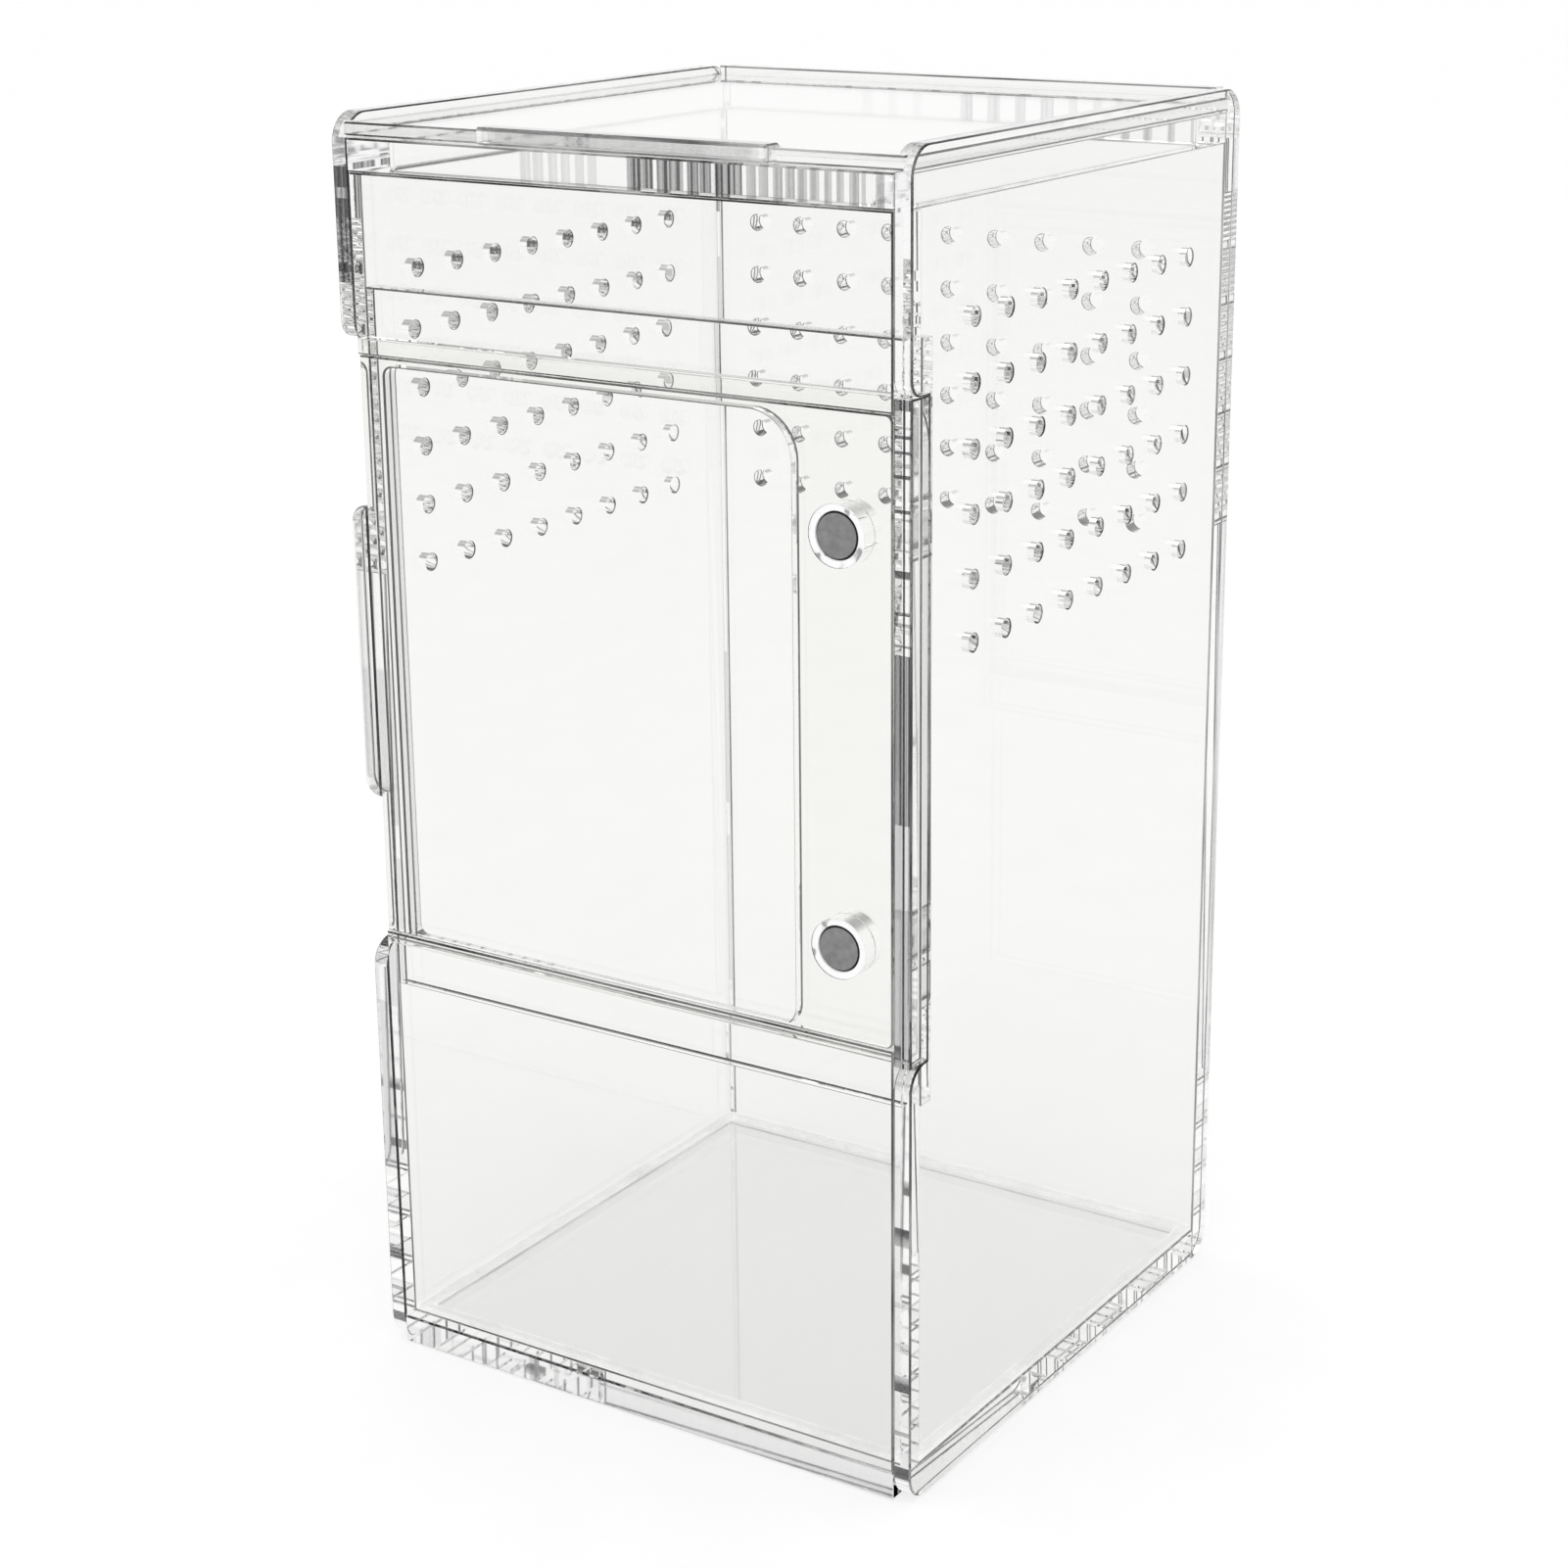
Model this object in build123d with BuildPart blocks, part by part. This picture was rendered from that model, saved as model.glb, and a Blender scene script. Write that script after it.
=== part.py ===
from build123d import *
import os

os.makedirs("parts", exist_ok=True)

# A tall clear enclosure for a climbing spider, cemented together from flat clear sheet.
# Two side walls, a back, a base, two front panels and an open frame under the lid make the case.
# A door slides out to the left between the front panels, and a lid slides out to the front.
# X runs from left to right, Y from front to back and Z up; the origin is the underside's centre.
# All sizes are in millimetres.

# The case over its side walls
box_width = 100.0
box_depth = 100.0
box_height = 200.0

# Thickness of each sheet
wall_thickness = 3.0
back_thickness = 3.0
base_thickness = 4.6
front_thickness = 4.6
door_frame_thickness = 3.0
top_frame_thickness = 5.0
lid_thickness = 2.0

# Outline of the side walls
wall_corner_radius = 4.5
notch_upper_radius = 2.5
notch_lower_radius = 4.0

# The narrow bevel that breaks each sheet's sharp edges, and the film of cement between two sheets
edge_break = 0.25
cement_film = 0.05

# The gap in the front that the door fills, and the lips that keep the door from falling forward
doorway_low = 70.0
doorway_height = 96.6
lip_height = 2.2
lip_thickness = 2.0

# Clearance round everything that slides
slide_gap = 0.2

# The frame behind the door, and the opening in it
door_frame_overlap = 7.5
opening_left_leg = 2.6
opening_right_leg = 18.5
opening_left_radius = 1.5
opening_upper_radius = 7.0
opening_lower_radius = 3.5
opening_low_inset = 0.8
opening_high_inset = 4.4

# The door's finger tab, in the left wall's notch
door_pull_length = 46.5
door_pull_drop = 0.5
door_pull_radius = 2.8
door_corner_radius = 1.2

# The magnets that hold the door shut, and the ring of set glue round each
magnet_diameter = 7.0
magnet_thickness = 3.0
magnet_chamfer = 0.3
glue_ring_width = 1.0
magnet_spacing = 60.5
magnet_drop = 2.0
magnet_recess = 0.1

# The lid, the grooves that it runs in and its finger tab
lid_drop = 3.6
groove_depth = 1.5
lid_side_gap = 0.25
lid_setback = 1.0
lid_pull_length = 50.0
lid_pull_depth = 3.0
lid_pull_drop = 0.9
lid_pull_radius = 0.6
lid_pull_shift = 2.2

# The open frame under the lid
top_frame_width = 5.0
top_opening_radius = 2.0

# Round vent holes, in a field on each side wall and one on the back wall
vent_diameter = 3.0
vent_rows = 6
side_vent_columns = 8
side_vent_pitch = 9.45
side_vent_row_pitch = 9.25
side_vent_top_drop = 24.5
back_vent_columns = 9
back_vent_pitch = 8.85
back_vent_row_pitch = 9.0
back_vent_top_drop = 26.1
back_vent_shift = -2.85

# Length by which a cut runs past the face that it leaves through
cut_overrun = 1.0

# Places worked out from the sizes above
inner_width = box_width - 2 * wall_thickness
inner_left = -inner_width / 2
inner_right = inner_width / 2
front_y = -box_depth / 2
front_inner_y = front_y + front_thickness
back_inner_y = box_depth / 2 - back_thickness
sheet_width = inner_width - 2 * cement_film
sheet_left = -sheet_width / 2
floor_depth = box_depth - back_thickness - cement_film
doorway_high = doorway_low + doorway_height
doorway_middle = doorway_low + doorway_height / 2
lid_floor = box_height - lid_drop
lid_low = lid_floor + slide_gap
groove_height = lid_thickness + 2 * slide_gap
top_frame_low = lid_floor - top_frame_thickness
side_vent_middle_z = box_height - side_vent_top_drop - side_vent_row_pitch * (vent_rows - 1) / 2
back_vent_middle_z = box_height - back_vent_top_drop - back_vent_row_pitch * (vent_rows - 1) / 2
magnet_x = inner_right - opening_right_leg / 2
magnet_middle_z = doorway_middle - magnet_drop
magnet_low_z = magnet_middle_z - magnet_spacing / 2
magnet_high_z = magnet_middle_z + magnet_spacing / 2
magnet_radius = magnet_diameter / 2
glue_inner_radius = magnet_radius + cement_film
glue_outer_radius = glue_inner_radius + glue_ring_width
magnet_hole_radius = glue_outer_radius + cement_film
door_front_y = front_y + slide_gap
door_back_y = front_inner_y - slide_gap
door_length = inner_width - 2 * slide_gap
frame_front_y = front_inner_y + cement_film
frame_back_y = frame_front_y + door_frame_thickness

# How a rectangle hangs on the point that places it
from_corner = (Align.MIN, Align.MIN)
from_front = (Align.CENTER, Align.MIN)


def corner(outline, column, row):
    """An outline's corner as it is now, by its column across and its row up that column."""
    return outline.vertices().group_by(Axis.X)[column].sort_by(Axis.Y)[row]


def rim_edges(plate, axis):
    """The outer edges of a plate's two faces that look along an axis."""
    faces = plate.faces().sort_by(axis)
    return faces[0].outer_wire().edges() + faces[-1].outer_wire().edges()


def opening_edges(plate, axis):
    """The edges of a plate's longest cut-out, on its two faces that look along an axis."""
    faces = plate.faces().sort_by(axis)
    wires = [face.inner_wires().sort_by(SortBy.LENGTH)[-1] for face in (faces[0], faces[-1])]
    return wires[0].edges() + wires[1].edges()


# Left wall: a rounded plate with a notch in its front edge that the door passes through,
# a groove near its top that the lid runs in, and a field of vent holes
with BuildPart() as left_wall:
    with BuildSketch(Plane.YZ.offset(-box_width / 2)) as wall_outline:
        with Locations((0, box_height / 2)):
            RectangleRounded(box_depth, box_height, wall_corner_radius)
        with Locations((front_y - cut_overrun, doorway_low)):
            Rectangle(
                front_thickness + cut_overrun, doorway_height, align=from_corner, mode=Mode.SUBTRACT
            )
        fillet(corner(wall_outline, 0, 1), notch_lower_radius)
        fillet(corner(wall_outline, 0, 2), notch_upper_radius)
        with Locations((0, side_vent_middle_z)):
            with GridLocations(side_vent_pitch, side_vent_row_pitch, side_vent_columns, vent_rows):
                Circle(vent_diameter / 2, mode=Mode.SUBTRACT)
    extrude(amount=wall_thickness)
    chamfer(rim_edges(left_wall, Axis.X), edge_break)
    with BuildSketch(Plane.XY.offset(lid_floor)):
        with Locations((inner_left - groove_depth, front_y - cut_overrun)):
            Rectangle(
                groove_depth + cut_overrun,
                back_inner_y - front_y + cut_overrun,
                align=from_corner,
            )
    extrude(amount=groove_height, mode=Mode.SUBTRACT)
left_wall.part.label = "left_wall"
export_step(left_wall.part, "parts/left_wall.step")

# Right wall: the left wall's mirror image
with BuildPart() as right_wall:
    add(mirror(left_wall.part, about=Plane.YZ))
right_wall.part.label = "right_wall"
export_step(right_wall.part, "parts/right_wall.step")

# Right stop: a strip cemented into the right wall's notch, which the door closes against
with BuildPart() as right_stop:
    with BuildSketch(Plane.XY.offset(doorway_low + cement_film)):
        with Locations((inner_right, front_y)):
            Rectangle(wall_thickness, front_thickness - cement_film, align=from_corner)
    extrude(amount=doorway_height - 2 * cement_film)
    chamfer(rim_edges(right_stop, Axis.X), edge_break)
right_stop.part.label = "right_stop"
export_step(right_stop.part, "parts/right_stop.step")

# Back wall: a plate between the side walls, as tall as they are, with vent holes
with BuildPart() as back_wall:
    with BuildSketch(Plane.XZ.offset(-box_depth / 2)):
        with Locations((0, box_height / 2)):
            Rectangle(sheet_width, box_height)
        with Locations((back_vent_shift, back_vent_middle_z)):
            with GridLocations(back_vent_pitch, back_vent_row_pitch, back_vent_columns, vent_rows):
                Circle(vent_diameter / 2, mode=Mode.SUBTRACT)
    extrude(amount=back_thickness)
    chamfer(rim_edges(back_wall, Axis.Y), edge_break)
back_wall.part.label = "back_wall"
export_step(back_wall.part, "parts/back_wall.step")

# Base: a plate between the side walls, from the front to the back wall
with BuildPart() as base:
    with BuildSketch(Plane.XY):
        with Locations((0, front_y)):
            Rectangle(sheet_width, floor_depth, align=from_front)
    extrude(amount=base_thickness)
    chamfer(rim_edges(base, Axis.Z), edge_break)
base.part.label = "base"
export_step(base.part, "parts/base.step")

# Front lower panel: stands on the base, and its top edge has a lip in front of the door
with BuildPart() as front_lower_panel:
    with BuildSketch(Plane.YZ.offset(sheet_left)):
        with Locations((front_y, base_thickness + cement_film)):
            Rectangle(
                front_thickness, doorway_low - base_thickness - cement_film, align=from_corner
            )
        with Locations((front_y, doorway_low)):
            Rectangle(lip_thickness, lip_height, align=from_corner)
    extrude(amount=sheet_width)
    chamfer(rim_edges(front_lower_panel, Axis.Y), edge_break)
front_lower_panel.part.label = "front_lower_panel"
export_step(front_lower_panel.part, "parts/front_lower_panel.step")

# Front upper panel: hangs from the top frame, and its bottom edge has the same lip
with BuildPart() as front_upper_panel:
    with BuildSketch(Plane.YZ.offset(sheet_left)):
        with Locations((front_y, doorway_high)):
            Rectangle(
                front_thickness, top_frame_low - cement_film - doorway_high, align=from_corner
            )
        with Locations((front_y, doorway_high - lip_height)):
            Rectangle(lip_thickness, lip_height, align=from_corner)
    extrude(amount=sheet_width)
    chamfer(rim_edges(front_upper_panel, Axis.Y), edge_break)
front_upper_panel.part.label = "front_upper_panel"
export_step(front_upper_panel.part, "parts/front_upper_panel.step")

# Door frame: a plate behind the front panels with the opening that hands reach through;
# its wide right leg holds two magnets
with BuildPart() as door_frame:
    with BuildSketch(Plane.XZ.offset(-frame_back_y)) as frame_outline:
        with Locations((sheet_left, doorway_low - door_frame_overlap)):
            Rectangle(sheet_width, doorway_height + 2 * door_frame_overlap, align=from_corner)
        with Locations((inner_left + opening_left_leg, doorway_low + opening_low_inset)):
            Rectangle(
                inner_width - opening_left_leg - opening_right_leg,
                doorway_height - opening_low_inset - opening_high_inset,
                align=from_corner,
                mode=Mode.SUBTRACT,
            )
        fillet(frame_outline.vertices().group_by(Axis.X)[1], opening_left_radius)
        fillet(corner(frame_outline, -2, 0), opening_lower_radius)
        fillet(corner(frame_outline, -2, 1), opening_upper_radius)
        with Locations((magnet_x, magnet_low_z), (magnet_x, magnet_high_z)):
            Circle(magnet_hole_radius, mode=Mode.SUBTRACT)
    extrude(amount=door_frame_thickness)
    chamfer(rim_edges(door_frame, Axis.Y) + opening_edges(door_frame, Axis.Y), edge_break)
door_frame.part.label = "door_frame"
export_step(door_frame.part, "parts/door_frame.step")

# Top frame: an open frame between the walls that the lid slides on
with BuildPart() as top_frame:
    with BuildSketch(Plane.XY.offset(top_frame_low)) as top_outline:
        with Locations((0, front_y)):
            Rectangle(sheet_width, floor_depth, align=from_front)
        with Locations((0, front_y + top_frame_width)):
            Rectangle(
                sheet_width - 2 * top_frame_width,
                floor_depth - 2 * top_frame_width,
                align=from_front,
                mode=Mode.SUBTRACT,
            )
        top_columns = top_outline.vertices().group_by(Axis.X)
        fillet(top_columns[1] + top_columns[2], top_opening_radius)
    extrude(amount=top_frame_thickness)
    chamfer(rim_edges(top_frame, Axis.Z) + opening_edges(top_frame, Axis.Z), edge_break)
top_frame.part.label = "top_frame"
export_step(top_frame.part, "parts/top_frame.step")

# Door panel: a thick plate whose top and bottom edges are stepped back at the front,
# so that a tongue runs behind the lips; two through holes hold its magnets
with BuildPart() as door_panel:
    with BuildSketch(Plane.XZ.offset(-door_back_y)) as tongue_outline:
        with Locations((0, doorway_middle)):
            Rectangle(door_length, doorway_height - 2 * slide_gap)
        right_corners = tongue_outline.vertices().group_by(Axis.X)[-1]
        fillet(right_corners, door_corner_radius)
        with Locations((magnet_x, magnet_low_z), (magnet_x, magnet_high_z)):
            Circle(magnet_hole_radius, mode=Mode.SUBTRACT)
    extrude(amount=front_thickness - lip_thickness - 2 * slide_gap)
    with BuildSketch(Plane.XZ.offset(-front_y - lip_thickness - slide_gap)) as body_outline:
        with Locations((0, doorway_middle)):
            Rectangle(door_length, doorway_height - 2 * lip_height - 2 * slide_gap)
        right_corners = body_outline.vertices().group_by(Axis.X)[-1]
        fillet(right_corners, door_corner_radius)
        with Locations((magnet_x, magnet_low_z), (magnet_x, magnet_high_z)):
            Circle(magnet_hole_radius, mode=Mode.SUBTRACT)
    extrude(amount=lip_thickness)
    chamfer(rim_edges(door_panel, Axis.Y), edge_break)
door_panel.part.label = "door_panel"
export_step(door_panel.part, "parts/door_panel.step")

# Door pull: a bar cemented to the door's left edge, round at its outer corners,
# which stands in the middle of the left wall's notch
with BuildPart() as door_pull:
    with BuildSketch(Plane.XZ.offset(-door_back_y)) as pull_outline:
        with Locations((-box_width / 2, doorway_middle - door_pull_drop - door_pull_length / 2)):
            Rectangle(
                wall_thickness + slide_gap - cement_film, door_pull_length, align=from_corner
            )
        outer_corners = pull_outline.vertices().group_by(Axis.X)[0]
        fillet(outer_corners, door_pull_radius)
    extrude(amount=door_back_y - door_front_y)
    chamfer(rim_edges(door_pull, Axis.Y), edge_break)
door_pull.part.label = "door_pull"
export_step(door_pull.part, "parts/door_pull.step")

# Magnets: four round discs, two in the door and two behind them in the door frame
magnet_places = {
    "door_magnet_lower": (door_front_y + magnet_recess, magnet_low_z),
    "door_magnet_upper": (door_front_y + magnet_recess, magnet_high_z),
    "frame_magnet_lower": (frame_front_y, magnet_low_z),
    "frame_magnet_upper": (frame_front_y, magnet_high_z),
}
for magnet_name, (magnet_front_y, magnet_z) in magnet_places.items():
    with BuildPart() as magnet:
        with BuildSketch(Plane.XZ.offset(-magnet_front_y)):
            with Locations((magnet_x, magnet_z)):
                Circle(magnet_radius)
        extrude(amount=-magnet_thickness)
        chamfer(magnet.edges().filter_by(GeomType.CIRCLE), magnet_chamfer)
    magnet.part.label = magnet_name
    export_step(magnet.part, f"parts/{magnet_name}.step")

# Glue rings: the set glue that holds each magnet in the middle of its wider hole
for magnet_name, (magnet_front_y, magnet_z) in magnet_places.items():
    ring_name = magnet_name.replace("magnet", "glue")
    with BuildPart() as glue_ring:
        with BuildSketch(Plane.XZ.offset(-magnet_front_y)):
            with Locations((magnet_x, magnet_z)):
                Circle(glue_outer_radius)
                Circle(glue_inner_radius, mode=Mode.SUBTRACT)
        extrude(amount=-magnet_thickness)
    glue_ring.part.label = ring_name
    export_step(glue_ring.part, f"parts/{ring_name}.step")

# Lid panel: a thin plate whose side edges run in the walls' grooves,
# cut back at the middle of its front edge for the pull
with BuildPart() as lid_panel:
    with BuildSketch(Plane.XY.offset(lid_low)):
        with Locations((0, front_y + lid_setback)):
            Rectangle(
                inner_width + 2 * (groove_depth - lid_side_gap),
                back_inner_y - slide_gap - front_y - lid_setback,
                align=from_front,
            )
        with Locations((lid_pull_shift, front_y)):
            Rectangle(
                lid_pull_length + 2 * cement_film,
                lid_pull_depth + cement_film,
                align=from_front,
                mode=Mode.SUBTRACT,
            )
    extrude(amount=lid_thickness)
    chamfer(rim_edges(lid_panel, Axis.Z), edge_break)
lid_panel.part.label = "lid_panel"
export_step(lid_panel.part, "parts/lid_panel.step")

# Lid pull: a bar cemented into the lid's front edge, standing up nearly to the walls' tops
with BuildPart() as lid_pull:
    with BuildSketch(Plane.XY.offset(lid_low)) as bar_outline:
        with Locations((lid_pull_shift, front_y)):
            Rectangle(lid_pull_length, lid_pull_depth, align=from_front)
        front_corners = bar_outline.vertices().group_by(Axis.Y)[0]
        fillet(front_corners, lid_pull_radius)
    extrude(amount=box_height - lid_pull_drop - lid_low)
    chamfer(rim_edges(lid_pull, Axis.Z), edge_break)
lid_pull.part.label = "lid_pull"
export_step(lid_pull.part, "parts/lid_pull.step")
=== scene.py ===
# %% [markdown]
# # A clear spider terrarium, dressed for a studio picture
# The case, its sliding door and its sliding lid are already modelled as solids.
# This lesson loads them, sets up a camera, a floor and soft light, and then works on looks:
# cut edges, bevels, cement, vent holes and magnets. Clear sheet has almost no colour of its own,
# so nearly all that the eye sees is at its edges, and that is where most of the work goes.

# %% Load the solids
import bpy
import math
from mathutils import Matrix, Vector


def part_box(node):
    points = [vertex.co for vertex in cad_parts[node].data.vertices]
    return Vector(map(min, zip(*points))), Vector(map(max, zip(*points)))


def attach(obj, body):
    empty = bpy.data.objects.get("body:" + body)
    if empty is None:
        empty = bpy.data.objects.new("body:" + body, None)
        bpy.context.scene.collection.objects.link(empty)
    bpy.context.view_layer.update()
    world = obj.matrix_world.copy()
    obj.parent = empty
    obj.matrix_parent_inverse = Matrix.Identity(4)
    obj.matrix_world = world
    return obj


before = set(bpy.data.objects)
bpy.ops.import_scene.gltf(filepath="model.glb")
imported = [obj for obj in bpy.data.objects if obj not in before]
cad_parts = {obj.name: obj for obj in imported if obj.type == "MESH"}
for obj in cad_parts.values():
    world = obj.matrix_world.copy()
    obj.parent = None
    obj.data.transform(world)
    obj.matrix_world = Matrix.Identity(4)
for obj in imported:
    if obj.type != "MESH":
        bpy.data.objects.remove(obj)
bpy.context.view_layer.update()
scene = bpy.context.scene

# %% [markdown]
# ## The camera
# The picture is taken from a little above, with the front and the right side in view.
# Three angles and a distance say where the camera stands. They, the lens and its shift were fitted
# to the edges of the case in the photograph and then rounded. A turned matrix is made from them,
# because the picture is also turned by half a degree, which an aim at a target can't give.

# %% Point the camera
view_azimuth = math.radians(32.87)
view_elevation = math.radians(16.70)
view_roll = math.radians(-0.45)
view_distance = 0.4905
view_target = Vector((0.00095, 0.0009, 0.1008))
sensor_width = 36
focal_length = 69.87
picture_shift = (-0.0184, -0.0378)
nearest_distance = 0.01

level = math.cos(view_elevation)
towards_camera = Vector((
    math.sin(view_azimuth) * level,
    -math.cos(view_azimuth) * level,
    math.sin(view_elevation),
))
level_right = Vector((math.cos(view_azimuth), math.sin(view_azimuth), 0))
level_up = towards_camera.cross(level_right)
camera_right = level_right * math.cos(view_roll) + level_up * math.sin(view_roll)
camera_up = level_up * math.cos(view_roll) - level_right * math.sin(view_roll)

lens = bpy.data.cameras.new("camera")
lens.sensor_width = sensor_width
lens.lens = focal_length
lens.shift_x, lens.shift_y = picture_shift
lens.clip_start = nearest_distance
camera = bpy.data.objects.new("camera", lens)
scene.collection.objects.link(camera)
camera_place = Matrix((camera_right, camera_up, towards_camera)).transposed().to_4x4()
camera_place.translation = view_target + towards_camera * view_distance
camera.matrix_world = camera_place
scene.camera = camera
scene.view_settings.view_transform = "Standard"
print("camera at", [round(v, 4) for v in camera_place.translation])

# %% [markdown]
# ## Building materials out of nodes
# A material is a tree of nodes. A few small helpers keep the recipes short: the main ones add a node
# and set its sockets, join two sockets, and start a new material. A socket is named by its label or
# by its number.

# %% Helpers for nodes
def add_node(tree, kind, sockets=None, **settings):
    """Add a node, change its settings, and set its input sockets to plain values."""
    node = tree.nodes.new(kind)
    for name, value in settings.items():
        setattr(node, name, value)
    for name, value in (sockets or {}).items():
        node.inputs[name].default_value = value
    return node


def join(tree, start, start_socket, end, end_socket):
    """Draw a link from one node's output to another node's input."""
    tree.links.new(start.outputs[start_socket], end.inputs[end_socket])


def grey(value):
    """A neutral colour."""
    return (value, value, value, 1)


def set_ramp(ramp, stops):
    """Give a colour ramp its stops, each a place and a grey value."""
    elements = ramp.color_ramp.elements
    while len(elements) > 1:
        elements.remove(elements[-1])
    elements[0].position = stops[0][0]
    elements[0].color = grey(stops[0][1])
    for place, value in stops[1:]:
        elements.new(place).color = grey(value)


def new_material(name):
    """A new material, with its tree and its shader."""
    material = bpy.data.materials.new(name)
    material.use_nodes = True
    return material, material.node_tree, material.node_tree.nodes["Principled BSDF"]


print("node helpers ready")

# %% [markdown]
# ## The floor
# The object stands on pale paper, lit from below like a light table: a glow that only the camera,
# reflections and clear sheet see lifts it to white, and its own grey keeps a faint shadow.
# The sheets see a little less of it than the camera does, so that they stand out against it.
# It lies a fifth of a millimetre low, because light gets lost between two faces that touch.

# %% Lay the floor
floor_drop = -0.0002
floor_radius = 4.0
floor_sides = 96
glow_for_camera = 0.75
glow_for_sheets = 0.7
bpy.ops.object.select_all(action="DESELECT")
bpy.ops.mesh.primitive_circle_add(
    vertices=floor_sides, radius=floor_radius, fill_type="NGON", location=(0, 0, floor_drop)
)
bpy.ops.object.transform_apply(location=True, rotation=True, scale=True)
floor = bpy.context.object
floor.name = "floor"

paper, tree, paper_shader = new_material("pale_paper")
paper_shader.inputs["Roughness"].default_value = 0.9
paper_shader.inputs["Specular IOR Level"].default_value = 0.1
place = add_node(tree, "ShaderNodeTexCoord")
fibres = add_node(tree, "ShaderNodeTexNoise", {"Scale": 60.0, "Detail": 4.0})
fibre_ramp = add_node(tree, "ShaderNodeValToRGB")
set_ramp(fibre_ramp, [(0.3, 0.28), (0.7, 0.3)])
join(tree, place, "Object", fibres, "Vector")
join(tree, fibres, "Fac", fibre_ramp, "Fac")
join(tree, fibre_ramp, "Color", paper_shader, "Base Color")
path = add_node(tree, "ShaderNodeLightPath")
seen_by_sheet = add_node(tree, "ShaderNodeMath", operation="MAXIMUM")
sheet_glow = add_node(tree, "ShaderNodeMath", {1: glow_for_sheets}, operation="MULTIPLY")
glow = add_node(tree, "ShaderNodeMath", {1: glow_for_camera}, operation="MULTIPLY_ADD")
join(tree, path, "Is Glossy Ray", seen_by_sheet, 0)
join(tree, path, "Is Transmission Ray", seen_by_sheet, 1)
join(tree, seen_by_sheet, 0, sheet_glow, 0)
join(tree, path, "Is Camera Ray", glow, 0)
join(tree, sheet_glow, 0, glow, 2)
paper_shader.inputs["Emission Color"].default_value = grey(1.0)
join(tree, glow, 0, paper_shader, "Emission Strength")
floor.data.materials.append(paper)
print("floor at", floor_drop)

# %% [markdown]
# ## Soft light all round
# Clear sheet shows what stands round it. A white surround leaves it almost unseen, and a studio
# hangs darker cloths to draw its edges. Here the surround is white near the ground and overhead,
# with a greyer belt between them that only steep reflections and bent light reach.

# %% Light the studio
lamp_side = 1.6
lamp_power = 6.0
lamp_place = (0.2, -0.3, 1.3)

studio = bpy.data.worlds.new("studio")
scene.world = studio
studio.use_nodes = True
tree = studio.node_tree
background = tree.nodes["Background"]
direction = add_node(tree, "ShaderNodeTexCoord")
height = add_node(tree, "ShaderNodeSeparateXYZ")
belt = add_node(tree, "ShaderNodeValToRGB")
set_ramp(belt, [(0.0, 1.0), (0.45, 1.0), (0.6, 0.45), (0.75, 0.4), (0.9, 1.0)])
join(tree, direction, "Generated", height, 0)
join(tree, height, "Z", belt, "Fac")
path = add_node(tree, "ShaderNodeLightPath")
seen_white = add_node(tree, "ShaderNodeMix", {7: grey(1.0)}, data_type="RGBA")
join(tree, path, "Is Camera Ray", seen_white, 0)
join(tree, belt, "Color", seen_white, 6)
join(tree, seen_white, 2, background, "Color")
background.inputs["Strength"].default_value = 1.0

lamp = bpy.data.lights.new("overhead_softbox", "AREA")
lamp.shape = "RECTANGLE"
lamp.size = lamp_side
lamp.size_y = lamp_side
lamp.energy = lamp_power
softbox = bpy.data.objects.new("overhead_softbox", lamp)
softbox.location = lamp_place
scene.collection.objects.link(softbox)
print("world and softbox ready")

# %% [markdown]
# ## Let light travel along the sheets
# A clear sheet carries light from one cut edge to the other, bouncing off its faces many times.
# A path that is given up too early turns black, so long paths are allowed.

# %% Allow long light paths
longest_path = 48
scene.cycles.max_bounces = longest_path
scene.cycles.transmission_bounces = longest_path
scene.cycles.glossy_bounces = longest_path
scene.cycles.transparent_max_bounces = longest_path
print("longest light path:", longest_path)

# %% [markdown]
# ## Telling faces, rims and cut edges apart
# Each sheet is flat, so the direction of its surface says which kind it is. Where the surface looks
# along the sheet's own axis it is the polished face, where it looks across it is the cut edge or a
# hole's wall, and in between is the narrow bevel. A dark line of painted shade is drawn where the eye
# sees one: on the bevel, and on the rim of a cut edge, found by how far it is from the middle of the
# sheet.
# The limits are cosines of the angle between a surface and the sheet's axis, or its marked side.

# %% Node group: masks of a sheet
cut_edge_limit = 0.35
polished_face_limit = 0.97
marked_side_limit = 0.9


def new_group(name, inputs, outputs):
    """A shader node group with its sockets, its entry node and its result node."""
    group = bpy.data.node_groups.new(name, "ShaderNodeTree")
    for direction, sockets in (("INPUT", inputs), ("OUTPUT", outputs)):
        for label, kind in sockets.items():
            group.interface.new_socket(
                label, in_out=direction, socket_type="NodeSocket" + kind
            )
    return group, add_node(group, "NodeGroupInput"), add_node(group, "NodeGroupOutput")


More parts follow.
